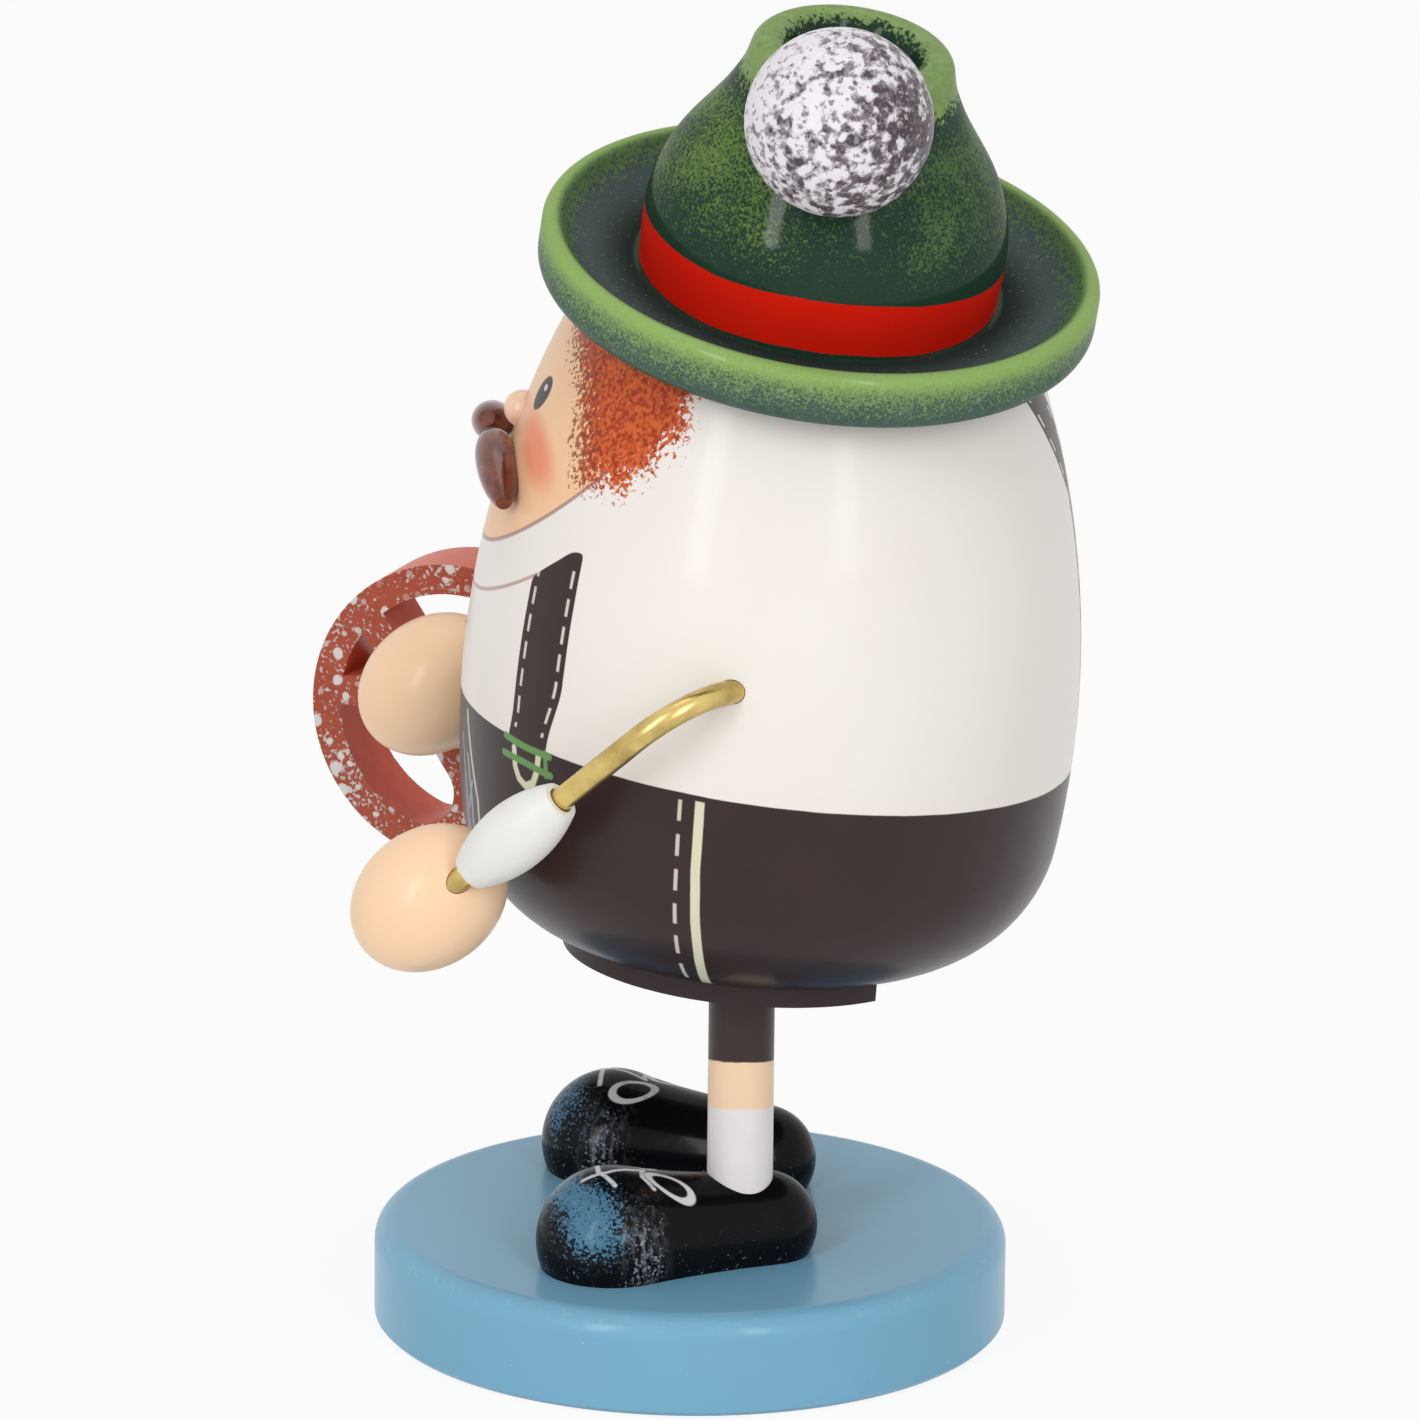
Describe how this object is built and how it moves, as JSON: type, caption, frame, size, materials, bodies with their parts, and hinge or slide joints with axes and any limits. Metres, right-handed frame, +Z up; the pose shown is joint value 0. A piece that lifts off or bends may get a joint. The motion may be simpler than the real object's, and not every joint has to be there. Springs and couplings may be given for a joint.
{
  "type": "german incense smoker",
  "caption": "Turned wooden incense smoker figure with a tilted hat and a pretzel, whose hollow body lifts off its stand to load an incense cone.",
  "frame": {"origin": "centre of the base's underside", "axes": "+Z up, the figure faces -Y and its left hand is on +X"},
  "size_m": [0.0804, 0.0802, 0.1412],
  "materials": {
    "base_paint": "blue satin lacquer on turned wood",
    "shoe_paint": "glossy black lacquer on turned wood, sponged blue on the toes",
    "leg_paint": "satin paint in brown, skin and white bands on dowel",
    "trouser_paint": "dark brown satin paint on wood",
    "bare_wood": "bare turned beech",
    "dish_metal": "bright tinned sheet",
    "body_paint": "hand-painted satin lacquer on turned wood",
    "hat_paint": "dark green lacquer with light sponging and a red band",
    "tuft_paint": "grey-brown paint with white dabs",
    "skin_paint": "peach satin lacquer on turned wood",
    "moustache_stain": "glossy brown stain",
    "wire_brass": "dull drawn brass wire",
    "cuff_paint": "white satin paint on a turned bead",
    "pretzel_paint": "red-brown lacquer on board with white salt dabs"
  },
  "bodies": {
    "stand": {"base_disc": "base_paint", "shoe_left": "shoe_paint", "shoe_right": "shoe_paint", "leg_left": "leg_paint", "leg_right": "leg_paint", "seat_plate": "trouser_paint", "spigot": "bare_wood", "cone_dish": "dish_metal", "dish_nail": "dish_metal"},
    "figure": {"body_shell": "body_paint", "hat": "hat_paint", "hat_dowel": "bare_wood", "tuft_ball": "tuft_paint", "tuft_dowel": "bare_wood", "nose": "skin_paint", "moustache_left": "moustache_stain", "moustache_right": "moustache_stain", "arm_wire_left": "wire_brass", "arm_wire_right": "wire_brass", "cuff_left": "cuff_paint", "cuff_right": "cuff_paint", "hand_left": "skin_paint", "hand_right": "skin_paint", "pretzel": "pretzel_paint"}
  },
  "joints": [
    {"name": "body_lift", "type": "slide", "parent": "stand", "child": "figure", "axis": [0, 0.0698, 0.9976], "range_m": [0, 0.045]}
  ]
}
